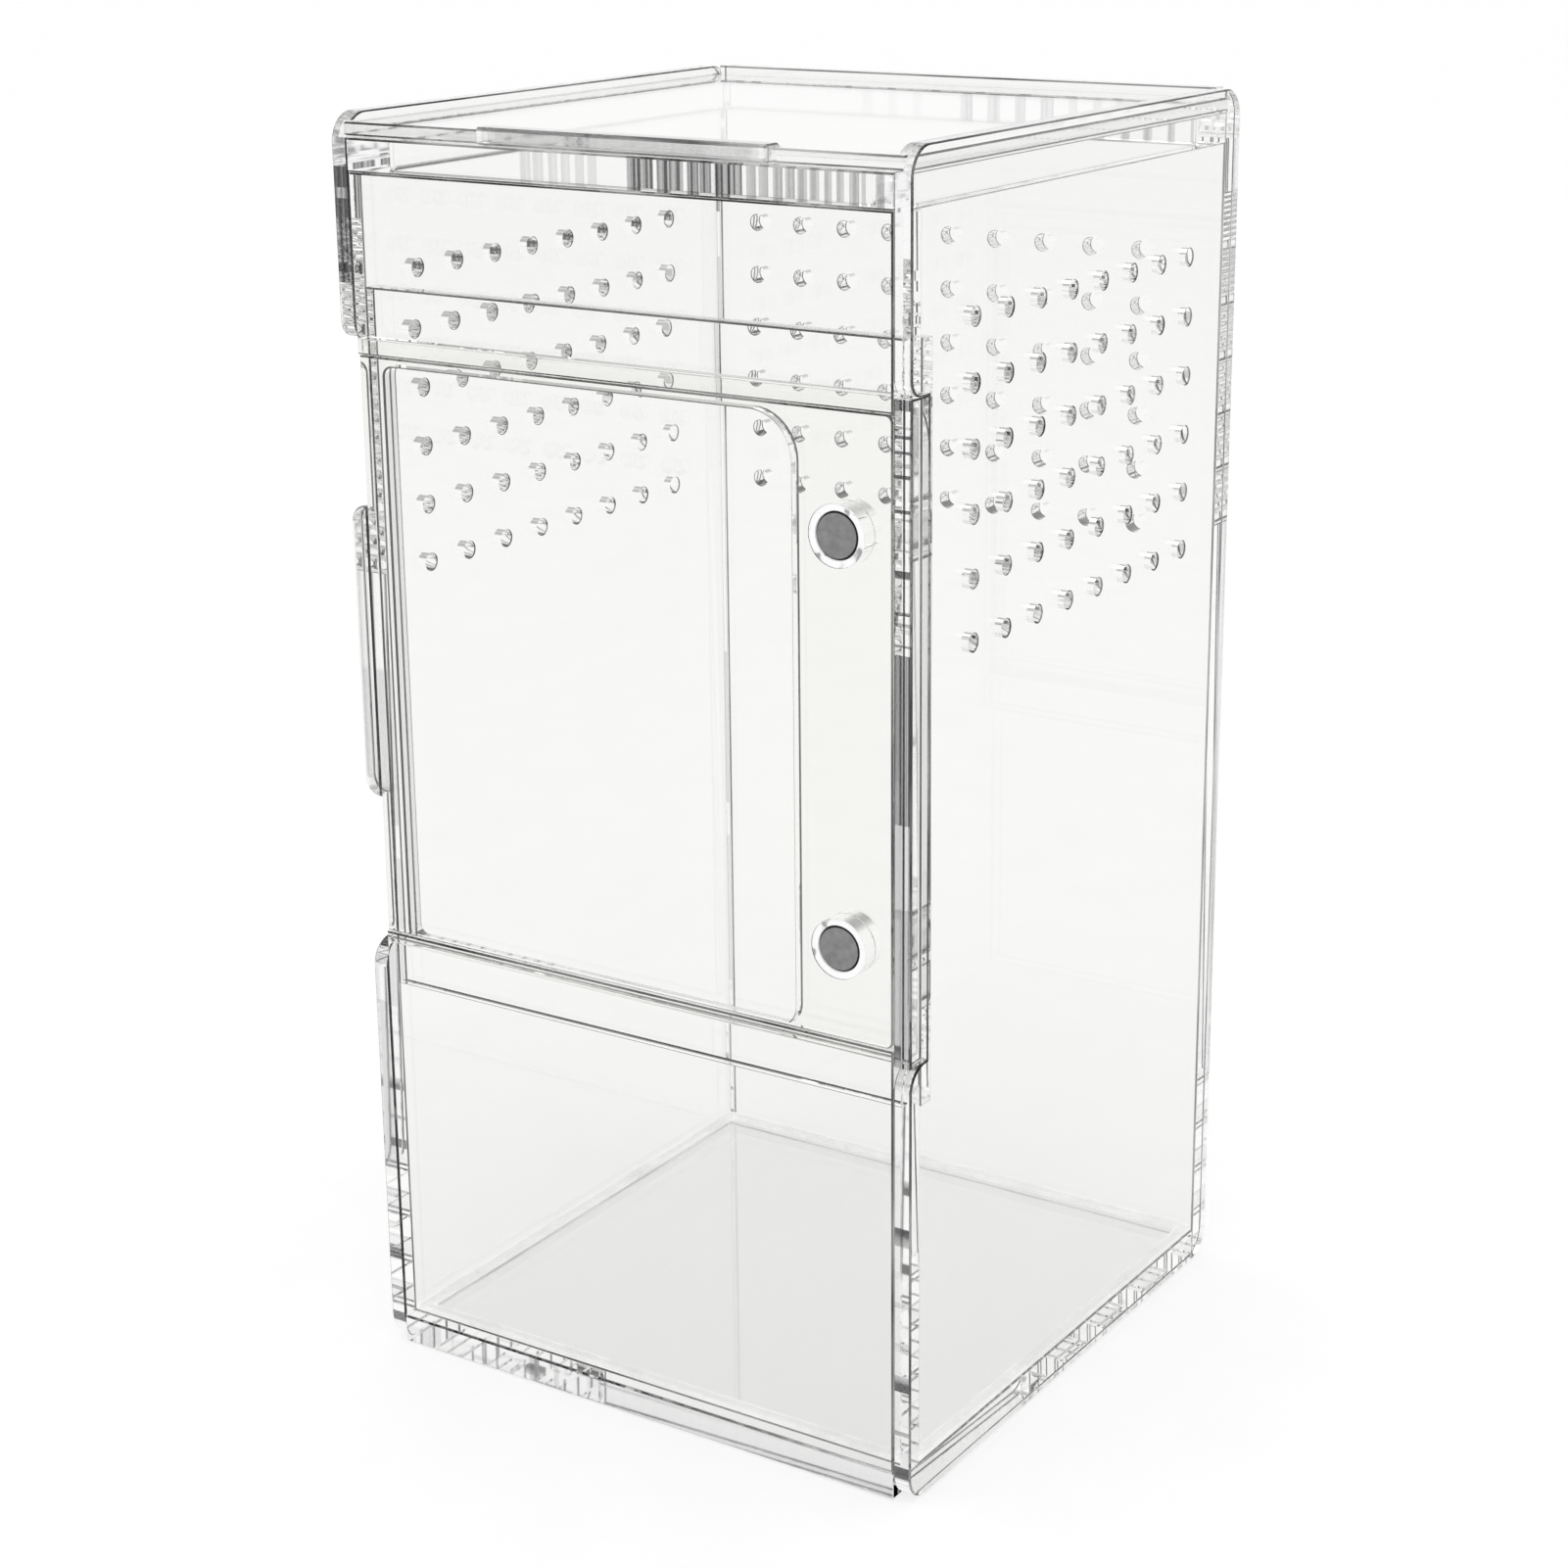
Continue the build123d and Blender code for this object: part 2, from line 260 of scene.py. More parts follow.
def sheet_masks_group():
    """A group that gives masks of a sheet's cut edge, of one side of it, and of its dark lines of
    painted shade.
    """
    group, entry, result = new_group(
        "sheet_masks",
        {"Axis": "Vector", "Side": "Vector", "Middle": "Float", "Rim Start": "Float"},
        {"Cut Edge": "Float", "Marked Side": "Float", "Line": "Float"},
    )
    surface = add_node(group, "ShaderNodeTexCoord")
    facing = add_node(group, "ShaderNodeVectorMath", operation="DOT_PRODUCT")
    size = add_node(group, "ShaderNodeMath", operation="ABSOLUTE")
    is_cut = add_node(group, "ShaderNodeMath", {1: cut_edge_limit}, operation="LESS_THAN")
    not_face = add_node(group, "ShaderNodeMath", {1: polished_face_limit}, operation="LESS_THAN")
    is_bevel = add_node(group, "ShaderNodeMath", operation="SUBTRACT")
    join(group, surface, "Normal", facing, 0)
    join(group, entry, "Axis", facing, 1)
    join(group, facing, "Value", size, 0)
    join(group, size, 0, is_cut, 0)
    join(group, size, 0, not_face, 0)
    join(group, not_face, 0, is_bevel, 0)
    join(group, is_cut, 0, is_bevel, 1)
    join(group, is_cut, 0, result, "Cut Edge")

    depth = add_node(group, "ShaderNodeVectorMath", operation="DOT_PRODUCT")
    from_middle = add_node(group, "ShaderNodeMath", operation="SUBTRACT")
    distance = add_node(group, "ShaderNodeMath", operation="ABSOLUTE")
    at_rim = add_node(group, "ShaderNodeMath", operation="GREATER_THAN")
    cut_rim = add_node(group, "ShaderNodeMath", operation="MULTIPLY")
    # This output marks the bevel and the cut edge's rim, where dark lines of painted shade are drawn.
    line = add_node(group, "ShaderNodeMath", operation="MAXIMUM")
    join(group, surface, "Object", depth, 0)
    join(group, entry, "Axis", depth, 1)
    join(group, depth, "Value", from_middle, 0)
    join(group, entry, "Middle", from_middle, 1)
    join(group, from_middle, 0, distance, 0)
    join(group, distance, 0, at_rim, 0)
    join(group, entry, "Rim Start", at_rim, 1)
    join(group, at_rim, 0, cut_rim, 0)
    join(group, is_cut, 0, cut_rim, 1)
    join(group, is_bevel, 0, line, 0)
    join(group, cut_rim, 0, line, 1)
    join(group, line, 0, result, "Line")

    towards_side = add_node(group, "ShaderNodeVectorMath", operation="DOT_PRODUCT")
    on_side = add_node(group, "ShaderNodeMath", {1: marked_side_limit}, operation="GREATER_THAN")
    join(group, surface, "Normal", towards_side, 0)
    join(group, entry, "Side", towards_side, 1)
    join(group, towards_side, "Value", on_side, 0)
    join(group, on_side, 0, result, "Marked Side")
    return group


sheet_masks = sheet_masks_group()
print("group:", sheet_masks.name)

# %% [markdown]
# ## Saw marks
# A saw or a laser leaves ribs across a cut edge. They come at a nearly even step, so the fraction of
# the length along the edge makes them, after slow noise has pushed them a little out of step.
# A second slow noise makes some ribs fainter than others.

# %% Node group: saw marks along a cut edge
rib_wander = 2.2


def saw_marks_group():
    """A group that turns a length along an edge into ribs, from 0 between them to 1."""
    group, entry, result = new_group(
        "saw_marks",
        {"Along": "Float", "Per Metre": "Float", "Width": "Float", "Start": "Float", "End": "Float"},
        {"Ribs": "Float"},
    )
    steps = add_node(group, "ShaderNodeMath", operation="MULTIPLY")
    wobble = add_node(
        group, "ShaderNodeTexNoise", {"Detail": 1.0, "Scale": 0.7}, noise_dimensions="1D"
    )
    uneven = add_node(group, "ShaderNodeMath", {1: rib_wander}, operation="MULTIPLY_ADD")
    part = add_node(group, "ShaderNodeMath", operation="FRACT")
    is_rib = add_node(group, "ShaderNodeMath", operation="LESS_THAN")
    fading = add_node(
        group, "ShaderNodeTexNoise", {"Detail": 0.0, "Scale": 0.6}, noise_dimensions="1D"
    )
    strength = add_node(group, "ShaderNodeValToRGB")
    set_ramp(strength, [(0.35, 0.15), (0.6, 1.0)])
    join(group, entry, "Along", steps, 0)
    join(group, entry, "Per Metre", steps, 1)
    join(group, steps, 0, wobble, "W")
    join(group, wobble, "Fac", uneven, 0)
    join(group, steps, 0, uneven, 2)
    join(group, uneven, 0, part, 0)
    join(group, part, 0, is_rib, 0)
    join(group, entry, "Width", is_rib, 1)
    join(group, steps, 0, fading, "W")
    join(group, fading, "Fac", strength, "Fac")
    after_start = add_node(group, "ShaderNodeMath", operation="GREATER_THAN")
    before_end = add_node(group, "ShaderNodeMath", operation="LESS_THAN")
    join(group, entry, "Along", after_start, 0)
    join(group, entry, "Start", after_start, 1)
    join(group, entry, "Along", before_end, 0)
    join(group, entry, "End", before_end, 1)
    product, socket = is_rib, 0
    for node, node_socket in ((strength, "Color"), (after_start, 0), (before_end, 0)):
        times = add_node(group, "ShaderNodeMath", operation="MULTIPLY")
        join(group, product, socket, times, 0)
        join(group, node, node_socket, times, 1)
        product, socket = times, 0
    join(group, product, socket, result, "Ribs")
    return group


saw_marks = saw_marks_group()
print("group:", saw_marks.name)

# %% [markdown]
# ## Handling marks
# Polished faces are never quite clean. Soft noise gives faint smears, so weak that they only show
# where light grazes the sheet.

# %% Node group: smears
def handling_group():
    """A group that gives soft smears from 0 to 1."""
    group, entry, result = new_group("handling_marks", {}, {"Smears": "Float"})
    place = add_node(group, "ShaderNodeTexCoord")
    smears = add_node(
        group, "ShaderNodeTexNoise", {"Scale": 45.0, "Detail": 2.0, "Distortion": 0.6}
    )
    soften = add_node(group, "ShaderNodeValToRGB")
    set_ramp(soften, [(0.0, 0.0), (0.5, 0.0), (0.75, 1.0), (1.0, 1.0)])
    join(group, place, "Object", smears, "Vector")
    join(group, smears, "Fac", soften, "Fac")
    join(group, soften, "Color", result, "Smears")
    return group


handling_marks = handling_group()
print("group:", handling_marks.name)

# %% [markdown]
# ## Cemented joints
# Solvent cement melts two sheets into one, so light passes from one to the other as if nothing
# were there. The solids have a thin gap in each joint. In a box round each gap the surface is made
# fully see-through, which joins the sheets for the eye. The boxes are worked out from the sheets.

# %% Node group: inside a box
def inside_box_group():
    """A group that is 1 inside a box, given its middle and half its size, and 0 outside."""
    group, entry, result = new_group(
        "inside_box", {"Middle": "Vector", "Half": "Vector"}, {"Inside": "Float"}
    )
    place = add_node(group, "ShaderNodeTexCoord")
    offset = add_node(group, "ShaderNodeVectorMath", operation="SUBTRACT")
    reach = add_node(group, "ShaderNodeVectorMath", operation="ABSOLUTE")
    beyond = add_node(group, "ShaderNodeVectorMath", operation="SUBTRACT")
    parts = add_node(group, "ShaderNodeSeparateXYZ")
    wider = add_node(group, "ShaderNodeMath", operation="MAXIMUM")
    widest = add_node(group, "ShaderNodeMath", operation="MAXIMUM")
    inside = add_node(group, "ShaderNodeMath", {1: 0.0}, operation="LESS_THAN")
    join(group, place, "Object", offset, 0)
    join(group, entry, "Middle", offset, 1)
    join(group, offset, "Vector", reach, 0)
    join(group, reach, "Vector", beyond, 0)
    join(group, entry, "Half", beyond, 1)
    join(group, beyond, "Vector", parts, 0)
    join(group, parts, "X", wider, 0)
    join(group, parts, "Y", wider, 1)
    join(group, wider, 0, widest, 0)
    join(group, parts, "Z", widest, 1)
    join(group, widest, 0, inside, 0)
    join(group, inside, 0, result, "Inside")
    return group


inside_box = inside_box_group()
print("group:", inside_box.name)

# %% [markdown]
# ## Where the joints are
# A joint lies where the boxes of two sheets meet. It is as wide and as long as they both are,
# less the bevels at their rims, and a little thicker than the film of cement. The strip in the right
# wall's notch lies inside that wall's box, so its three joints are worked out from the strip alone.
# At its foot and its head the wall's corners are rounded, so those two joints start further back.

# %% Work out the joints
bevel_width = 0.00027
film_reach = 0.00006
strip_film_half = film_reach * 1.5
foot_shift, foot_trim = 0.0012, 0.0013
head_shift, head_trim = 0.0007, 0.0008
notch_margin = 0.0002


def joint_between(first, second, keep_low=None, keep_high=None):
    """The box of the joint between two sheets, as its middle and half its size."""
    first_low, first_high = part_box(first)
    second_low, second_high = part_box(second)
    low = Vector([max(a, b) for a, b in zip(first_low, second_low)])
    high = Vector([min(a, b) for a, b in zip(first_high, second_high)])
    gaps = [low[i] - high[i] for i in range(3)]
    thin = gaps.index(max(gaps))
    for i in range(3):
        if i == thin:
            low[i], high[i] = high[i] - film_reach, low[i] + film_reach
        else:
            low[i], high[i] = low[i] + bevel_width, high[i] - bevel_width
    for i, limit in (keep_low or {}).items():
        low[i] = max(low[i], limit)
    for i, limit in (keep_high or {}).items():
        high[i] = min(high[i], limit)
    return (low + high) / 2, (high - low) / 2


stop_low, stop_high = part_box("right_stop")
stop_half = (stop_high - stop_low) / 2 - Vector((bevel_width, bevel_width, bevel_width))
stop_middle = (stop_low + stop_high) / 2
stop_joints = {
    "stop_rear": (
        Vector((stop_middle.x, stop_high.y + film_reach / 2, stop_middle.z)),
        Vector((stop_half.x, strip_film_half, stop_half.z)),
    ),
    "stop_foot": (
        Vector((stop_middle.x, stop_middle.y + foot_shift, stop_low.z - film_reach / 2)),
        Vector((stop_half.x, stop_half.y - foot_trim, strip_film_half)),
    ),
    "stop_head": (
        Vector((stop_middle.x, stop_middle.y + head_shift, stop_high.z + film_reach / 2)),
        Vector((stop_half.x, stop_half.y - head_trim, strip_film_half)),
    ),
}
notch_floor = stop_low.z - notch_margin
notch_top = stop_high.z + notch_margin
joints = {}
for wall in ("left_wall", "right_wall"):
    for sheet in ("base", "back_wall", "door_frame", "top_frame"):
        joints[wall, sheet] = joint_between(wall, sheet)
    joints[wall, "front_lower_panel"] = joint_between(
        wall, "front_lower_panel", keep_high={2: notch_floor}
    )
    joints[wall, "front_upper_panel"] = joint_between(
        wall, "front_upper_panel", keep_low={2: notch_top}
    )
for pair in (
    ("back_wall", "base"),
    ("back_wall", "top_frame"),
    ("base", "front_lower_panel"),
    ("top_frame", "front_upper_panel"),
):
    joints[pair] = joint_between(*pair)
joints["door_frame", "front_lower_panel"] = joint_between(
    "door_frame", "front_lower_panel", keep_high={2: notch_floor}
)
joints["door_frame", "front_upper_panel"] = joint_between(
    "door_frame", "front_upper_panel", keep_low={2: notch_top}
)
joints["door_panel", "door_pull"] = joint_between("door_panel", "door_pull")
for name, joint in stop_joints.items():
    joints["right_wall", "right_stop", name] = joint


def joints_of(node):
    """All the joints that a sheet takes part in."""
    return [joint for names, joint in joints.items() if node in names]


print("joints:", len(joints), "on the base:", len(joints_of("base")))

# %% [markdown]
# ## Clear sheet
# The sheet is real clear plastic: light goes in, bends and comes out, so edges carry light as they
# do on the real thing. Each sheet gets its own material, because each has its own joints, its own
# stretch of ribs, and its own tones along one side: a short list of places and of the grey that
# starts at each, which was read from the photograph and then tuned against it. The tones are painted
# shade on the cut edge. At the left wall's notch they also stand for chips and smears of cement, and
# on the strip under the lid they are bars of saw ribs. Fine upright streaks break the tones up. The
# dark lines of painted shade differ from sheet to sheet too: two greys, between which they wander.

# %% Make a clear sheet material
face_tint = (0.975, 0.975, 0.966, 1)
across = {"x": Vector((1, 0, 0)), "y": Vector((0, 1, 0)), "z": Vector((0, 0, 1))}
front, leftward, rightward = (0, -1, 0), (-1, 0, 0), (1, 0, 0)
acrylic_index = 1.49
rim_width = 0.0003
streaks_per_metre = 1300.0
rib_depth = 0.0002
face_roughness = 0.015
cut_roughness = 0.05


def length_along(tree, direction):
    """A node that gives how far a point lies along a direction."""
    place = add_node(tree, "ShaderNodeTexCoord")
    length = add_node(tree, "ShaderNodeVectorMath", {1: direction}, operation="DOT_PRODUCT")
    join(tree, place, "Object", length, 0)
    return length


def side_shade_and_bars(tree, along, tones):
    """Nodes that give the tones of a marked side, with upright streaks: painted shade, and on the strip
    under the lid bars of saw ribs.
    """
    low, high = tones[0][0], tones[-1][0]
    part = add_node(tree, "ShaderNodeMapRange", {"From Min": low, "From Max": high})
    join(tree, along, "Value", part, "Value")
    ramp = add_node(tree, "ShaderNodeValToRGB")
    ramp.color_ramp.interpolation = "CONSTANT"
    set_ramp(ramp, [((place - low) / (high - low), tone) for place, tone in tones])
    join(tree, part, "Result", ramp, "Fac")
    streak = add_node(
        tree, "ShaderNodeTexNoise", {"Scale": streaks_per_metre, "Detail": 1.0}, noise_dimensions="1D"
    )
    join(tree, length_along(tree, across["x"]), "Value", streak, "W")
    depth = add_node(tree, "ShaderNodeValToRGB")
    set_ramp(depth, [(0.4, 0.75), (0.6, 1.0)])
    join(tree, streak, "Fac", depth, "Fac")
    streaked = add_node(tree, "ShaderNodeMix", {6: grey(1.0)}, data_type="RGBA")
    join(tree, depth, "Color", streaked, 0)
    join(tree, ramp, "Color", streaked, 7)
    return streaked


def clear_sheet(node, thin, along="z", side=front, ribs=None, tones=None, shade_edge_greys=(0.002, 0.09)):
    """Clear plastic for one sheet, with its joints, its dark lines of painted shade and its marked
    side.
    """
    material, tree, shader = new_material("clear_" + node)
    shader.inputs["Transmission Weight"].default_value = 1.0
    shader.inputs["IOR"].default_value = acrylic_index
    low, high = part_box(node)
    masks = add_node(tree, "ShaderNodeGroup", node_tree=sheet_masks)
    masks.inputs["Axis"].default_value = across[thin]
    masks.inputs["Side"].default_value = side
    masks.inputs["Middle"].default_value = (low + high).dot(across[thin]) / 2
    masks.inputs["Rim Start"].default_value = (high - low).dot(across[thin]) / 2 - rim_width
    along_edge = length_along(tree, across[along])
    colour = add_node(tree, "ShaderNodeMix", {6: face_tint, 7: face_tint}, data_type="RGBA")
    join(tree, masks, "Marked Side", colour, 0)
    # The tones paint shade along the marked side. On the strip under the lid they are bars of saw ribs
    # instead.
    if tones:
        join(tree, side_shade_and_bars(tree, along_edge, tones), 2, colour, 7)
    if ribs:
        per_metre, width, start, end, rib_grey = ribs
        marks = add_node(tree, "ShaderNodeGroup", node_tree=saw_marks)
        marks.inputs["Per Metre"].default_value = per_metre
        marks.inputs["Width"].default_value = width
        marks.inputs["Start"].default_value = start
        marks.inputs["End"].default_value = end
        join(tree, along_edge, "Value", marks, "Along")
        side_ribs = add_node(tree, "ShaderNodeMath", operation="MULTIPLY")
        join(tree, marks, "Ribs", side_ribs, 0)
        join(tree, masks, "Marked Side", side_ribs, 1)
        ribbed = add_node(tree, "ShaderNodeMix", {7: grey(rib_grey)}, data_type="RGBA")
        join(tree, side_ribs, 0, ribbed, 0)
        join(tree, colour, 2, ribbed, 6)
        colour = ribbed
        bump = add_node(tree, "ShaderNodeBump", {"Strength": 0.4, "Distance": rib_depth})
        join(tree, side_ribs, 0, bump, "Height")
        join(tree, bump, "Normal", shader, "Normal")

    # Dark lines of painted shade on the bevel and on the rim of the cut edge, wandering between two
    # greys.
    place = add_node(tree, "ShaderNodeTexCoord")
    patches = add_node(tree, "ShaderNodeTexNoise", {"Scale": 55.0, "Detail": 1.0})
    painted_shade_ramp = add_node(tree, "ShaderNodeValToRGB")
    set_ramp(painted_shade_ramp, [(0.4, shade_edge_greys[0]), (0.65, shade_edge_greys[1])])
    with_painted_shade = add_node(tree, "ShaderNodeMix", data_type="RGBA")
    join(tree, place, "Object", patches, "Vector")
    join(tree, patches, "Fac", painted_shade_ramp, "Fac")
    join(tree, masks, "Line", with_painted_shade, 0)
    join(tree, colour, 2, with_painted_shade, 6)
    join(tree, painted_shade_ramp, "Color", with_painted_shade, 7)
    join(tree, with_painted_shade, 2, shader, "Base Color")

    wear = add_node(tree, "ShaderNodeGroup", node_tree=handling_marks)
    smear_rough = add_node(tree, "ShaderNodeMath", {1: face_roughness}, operation="MULTIPLY")
    rough = add_node(tree, "ShaderNodeMix", {3: cut_roughness}, data_type="FLOAT")
    join(tree, wear, "Smears", smear_rough, 0)
    join(tree, masks, "Cut Edge", rough, 0)
    join(tree, smear_rough, 0, rough, 2)
    join(tree, rough, 0, shader, "Roughness")

    glued = None
    for middle, half in joints_of(node):
        inside = add_node(tree, "ShaderNodeGroup", node_tree=inside_box)
        inside.inputs["Middle"].default_value = middle
        inside.inputs["Half"].default_value = half
        if glued is None:
            glued = inside
            continue
        either = add_node(tree, "ShaderNodeMath", operation="MAXIMUM")
        join(tree, glued, 0, either, 0)
        join(tree, inside, 0, either, 1)
        glued = either
    if glued is not None:
        solid = add_node(tree, "ShaderNodeMath", {0: 1.0}, operation="SUBTRACT")
        join(tree, glued, 0, solid, 1)
        join(tree, solid, 0, shader, "Alpha")
    return material


print("clear sheet recipe ready")

# %% [markdown]
# ## Magnets and glue
# The magnets are small discs with a dull grey plating, and their bevel is painted near-black as
# painted shade. A mottled film keeps the flat face from looking like a hole. The ring of set glue
# round each is white, and a painted glow makes it a little brighter than the paper behind.

# %% Make the magnet plating and the set glue
beyond_any_rim = 1.0


def magnet_plating():
    """Dull grey metal with a mottled film and a bevel painted near-black as shade."""
    material, tree, shader = new_material("dull_magnet_plating")
    shader.inputs["Metallic"].default_value = 0.5
    place = add_node(tree, "ShaderNodeTexCoord")
    mottle = add_node(tree, "ShaderNodeTexNoise", {"Scale": 900.0, "Detail": 5.0})
    tint = add_node(tree, "ShaderNodeValToRGB")
    set_ramp(tint, [(0.3, 0.24), (0.7, 0.35)])
    rough = add_node(tree, "ShaderNodeValToRGB")
    set_ramp(rough, [(0.3, 0.4), (0.7, 0.55)])
    bump = add_node(tree, "ShaderNodeBump", {"Strength": 0.25, "Distance": 0.0001})
    masks = add_node(tree, "ShaderNodeGroup", node_tree=sheet_masks)
    masks.inputs["Axis"].default_value = across["y"]
    masks.inputs["Rim Start"].default_value = beyond_any_rim
    # Painted shade: the bevel is painted near-black.
    shade_outline = add_node(tree, "ShaderNodeMix", {7: grey(0.005)}, data_type="RGBA")
    join(tree, place, "Object", mottle, "Vector")
    join(tree, mottle, "Fac", tint, "Fac")
    join(tree, mottle, "Fac", rough, "Fac")
    join(tree, mottle, "Fac", bump, "Height")
    join(tree, masks, "Line", shade_outline, 0)
    join(tree, tint, "Color", shade_outline, 6)
    join(tree, shade_outline, 2, shader, "Base Color")
    join(tree, rough, "Color", shader, "Roughness")
    join(tree, bump, "Normal", shader, "Normal")
    return material


def set_glue():
    """White glue with a lumpy surface and a painted glow."""
    material, tree, shader = new_material("white_glue_with_painted_glow")
    place = add_node(tree, "ShaderNodeTexCoord")
    lumps = add_node(tree, "ShaderNodeTexNoise", {"Scale": 420.0, "Detail": 2.0})
    tint = add_node(tree, "ShaderNodeValToRGB")
    set_ramp(tint, [(0.34, 0.35), (0.42, 0.93), (0.8, 0.96)])
    rough = add_node(tree, "ShaderNodeValToRGB")
    set_ramp(rough, [(0.3, 0.25), (0.7, 0.45)])
    bump = add_node(tree, "ShaderNodeBump", {"Strength": 0.5, "Distance": 0.0003})
    join(tree, place, "Object", lumps, "Vector")
    join(tree, lumps, "Fac", tint, "Fac")
    join(tree, lumps, "Fac", rough, "Fac")
    join(tree, lumps, "Fac", bump, "Height")
    join(tree, tint, "Color", shader, "Base Color")
    join(tree, tint, "Color", shader, "Emission Color")
    join(tree, rough, "Color", shader, "Roughness")
    join(tree, bump, "Normal", shader, "Normal")
    # A painted glow: the glue gives off light, though it is no lamp.
    shader.inputs["Emission Strength"].default_value = 0.4
    return material


dull_plating = magnet_plating()
white_glue = set_glue()
print("made:", dull_plating.name, "and", white_glue.name)

# %% [markdown]
# ## Give each solid its material
# Each sheet is named with the way it is thin, and, where it has marks, with the side that carries
# them, the ribs (how many to a metre, their width, start, end and grey) and the tones, which are
# painted shade. Each may also give the two greys of its dark lines of painted shade. The strip
# under the lid has three runs of even bars instead, standing for saw ribs: faint ones, dark ones and
# pale ones. Their number, steps and greys are a simplified form of what was read from the photograph
# there.

# %% Dress the solids
def bars(start, step, count, width, tone):
    """Evenly stepped bars of one tone with clear gaps between, as stops for a tone ramp."""
    stops = []
    for i in range(count):
        stops += [(start + i * step, tone), (start + i * step + width, 1.0)]
    return stops


strip_tones = [(-0.050, 1.0)]
strip_tones += bars(start=-0.0149, step=0.0048, count=3, width=0.0017, tone=0.6)
strip_tones += bars(start=0.0039, step=0.0049, count=4, width=0.0023, tone=0.008)
strip_tones += bars(start=0.0237, step=0.0041, count=6, width=0.0015, tone=0.22)
strip_tones += [(0.050, 1.0)]
# Each sheet's tones are painted shade along its marked side (bars of saw ribs on the top frame), and
# its two edge greys are for its dark lines of painted shade.
sheets = {
    "left_wall": dict(
        thin="x", ribs=(200.0, 0.35, 0.002, 0.031, 0.06),
        tones=[(0.0, 1.0), (0.031, 0.6), (0.060, 1.0), (0.066, 0.5), (0.095, 1.0), (0.141, 0.5),
               (0.167, 1.0), (0.1749, 0.01), (0.187, 1.0), (0.1886, 0.01), (0.1915, 1.0), (0.2, 1.0)],
    ),
    "right_wall": dict(
        thin="x", ribs=(160.0, 0.3, 0.004, 0.045, 0.02),
        tones=[(0.0, 1.0), (0.067, 0.6), (0.083, 1.0), (0.090, 0.6), (0.144, 1.0), (0.152, 0.6),
               (0.167, 1.0), (0.2, 1.0)],
        shade_edge_greys=(0.01, 0.2),
    ),
    "right_stop": dict(
        thin="x", ribs=(400.0, 0.3, 0.1315, 0.1640, 0.03),
        tones=[(0.070, 0.2), (0.094, 0.5), (0.1065, 0.006), (0.131, 1.0), (0.1647, 0.01),
               (0.1665, 1.0)],
    ),
    "back_wall": dict(thin="y"),
    "front_lower_panel": dict(thin="y"),
    "front_upper_panel": dict(thin="y"),
    "door_frame": dict(
        thin="y", side=rightward, tones=[(0.06, 0.5), (0.18, 0.5)], shade_edge_greys=(0.0005, 0.01),
    ),
    "door_panel": dict(thin="y", side=leftward, tones=[(0.06, 0.4), (0.18, 0.4)]),
    "door_pull": dict(thin="y", side=leftward, tones=[(0.06, 0.5), (0.18, 0.5)]),
    "base": dict(
        thin="z", along="x", ribs=(190.0, 0.15, -0.042, -0.011, 0.3),
        tones=[(-0.05, 1.0), (-0.010, 0.8), (0.047, 0.8)], shade_edge_greys=(0.3, 0.7),
    ),
    "top_frame": dict(thin="z", along="x", tones=strip_tones, shade_edge_greys=(0.02, 0.3)),
    "lid_panel": dict(
        thin="z", along="x", tones=[(-0.049, 0.7), (-0.0228, 1.0), (0.049, 1.0)],
        shade_edge_greys=(0.01, 0.3),
    ),
    "lid_pull": dict(
        thin="z", along="x", tones=[(-0.0228, 1.0), (-0.0205, 0.7), (0.0246, 1.0), (0.0272, 1.0)],
        shade_edge_greys=(0.1, 0.4),
    ),
}
for name, recipe in sheets.items():
    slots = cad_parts[name].data.materials
    slots.clear()
    slots.append(clear_sheet(name, **recipe))
magnet_places = ("door_magnet_lower", "door_magnet_upper", "frame_magnet_lower", "frame_magnet_upper")
for name in magnet_places:
    for solid, material in ((name, dull_plating), (name.replace("magnet", "glue"), white_glue)):
        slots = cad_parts[solid].data.materials
        slots.clear()
        slots.append(material)
print("dressed:", len(sheets), "sheets and", len(magnet_places), "magnets")

# %% [markdown]
# ## Beads of cement
# Where the walls meet the base, a little cement is left as a hazy bead, with a faint painted glow. Each
# bead is a bar that is rounded with a bevel, divided finely, and pushed in by a cloudy pattern so that
# it looks laid by hand.

# %% Lay the beads
bead_reach = 0.0022
bead_height = 0.0011
bead_clearance = 0.00004
bead_rounding = 0.0004
rounding_steps = 2
bead_divisions = 4
lump_size = 0.004
lump_depth = 0.0003


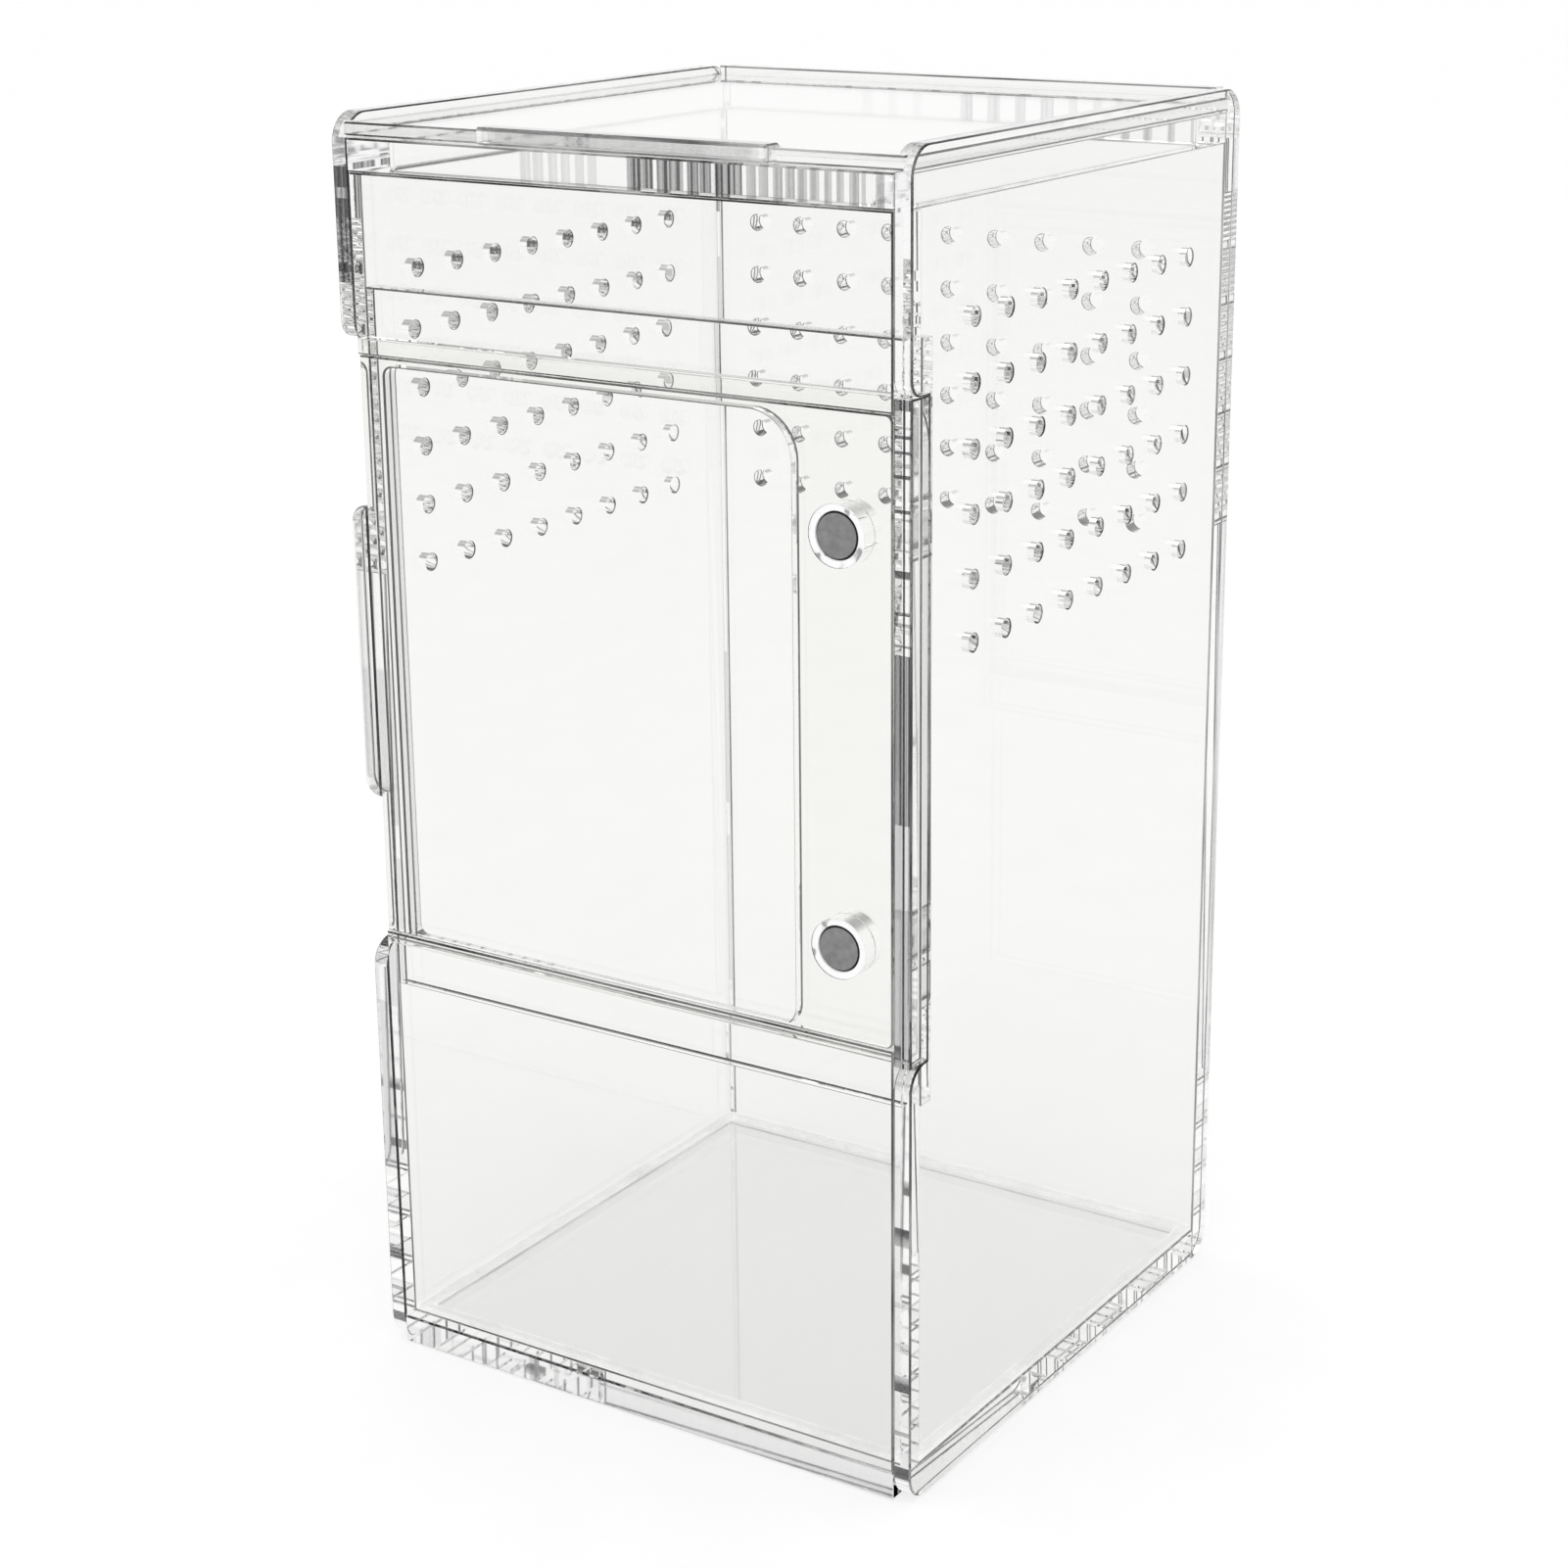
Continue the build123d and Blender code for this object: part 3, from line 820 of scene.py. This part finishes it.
def cement_haze_painted_glow():
    """White haze that lets some light through, denser in some places, with a painted glow."""
    material, tree, shader = new_material("cement_haze_painted_glow")
    place = add_node(tree, "ShaderNodeTexCoord")
    clouds = add_node(tree, "ShaderNodeTexNoise", {"Scale": 120.0, "Detail": 3.0})
    density = add_node(tree, "ShaderNodeValToRGB")
    set_ramp(density, [(0.35, 0.55), (0.65, 0.9)])
    tint = add_node(tree, "ShaderNodeValToRGB")
    set_ramp(tint, [(0.3, 0.86), (0.7, 0.95)])
    join(tree, place, "Object", clouds, "Vector")
    join(tree, clouds, "Fac", density, "Fac")
    join(tree, clouds, "Fac", tint, "Fac")
    join(tree, density, "Color", shader, "Alpha")
    join(tree, tint, "Color", shader, "Base Color")
    join(tree, tint, "Color", shader, "Emission Color")
    shader.inputs["Roughness"].default_value = 0.5
    # A painted glow, which makes the bead brighter, though it is no lamp.
    shader.inputs["Emission Strength"].default_value = 0.35
    return material


def cement_bead(name, corner, run, inward, material):
    """A bead from a corner point along a run, reaching inward over the base."""
    length = run.length
    along = run.normalized()
    middle = corner + run / 2 + inward * bead_reach / 2 + Vector((0, 0, bead_height / 2))
    bpy.ops.object.select_all(action="DESELECT")
    bpy.ops.mesh.primitive_cube_add(size=1.0, location=middle)
    bead = bpy.context.object
    bead.name = name
    bead.scale = [
        abs(along[i]) * length + abs(inward[i]) * bead_reach + (bead_height if i == 2 else 0)
        for i in range(3)
    ]
    bpy.ops.object.transform_apply(location=True, rotation=True, scale=True)
    rounding = bead.modifiers.new("rounding", "BEVEL")
    rounding.width = bead_rounding
    rounding.segments = rounding_steps
    division = bead.modifiers.new("division", "SUBSURF")
    division.subdivision_type = "SIMPLE"
    division.levels = bead_divisions
    pattern = bpy.data.textures.new(name + "_pattern", "CLOUDS")
    pattern.noise_scale = lump_size
    wobble = bead.modifiers.new("wobble", "DISPLACE")
    wobble.texture = pattern
    wobble.mid_level = 1.0
    wobble.strength = lump_depth
    for modifier in ("rounding", "division", "wobble"):
        bpy.ops.object.modifier_apply(modifier=modifier)
    bead.data.materials.append(material)
    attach(bead, "case")
    return bead


haze = cement_haze_painted_glow()
base_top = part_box("base")[1].z + bead_clearance
left_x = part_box("left_wall")[1].x + bead_clearance
right_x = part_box("right_wall")[0].x - bead_clearance
back_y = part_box("back_wall")[0].y - bead_clearance
front_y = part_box("front_lower_panel")[1].y + bead_clearance
depth_run = Vector((0, back_y - front_y, 0))
width_run = Vector((right_x - left_x, 0, 0))
beads = [
    cement_bead("bead_left", Vector((left_x, front_y, base_top)), depth_run, across["x"], haze),
    cement_bead("bead_right", Vector((right_x, front_y, base_top)), depth_run, -across["x"], haze),
    cement_bead("bead_back", Vector((left_x, back_y, base_top)), width_run, -across["y"], haze),
    cement_bead("bead_front", Vector((left_x, front_y, base_top)), width_run, across["y"], haze),
]
print("beads:", [(bead.name, len(bead.data.polygons)) for bead in beads])
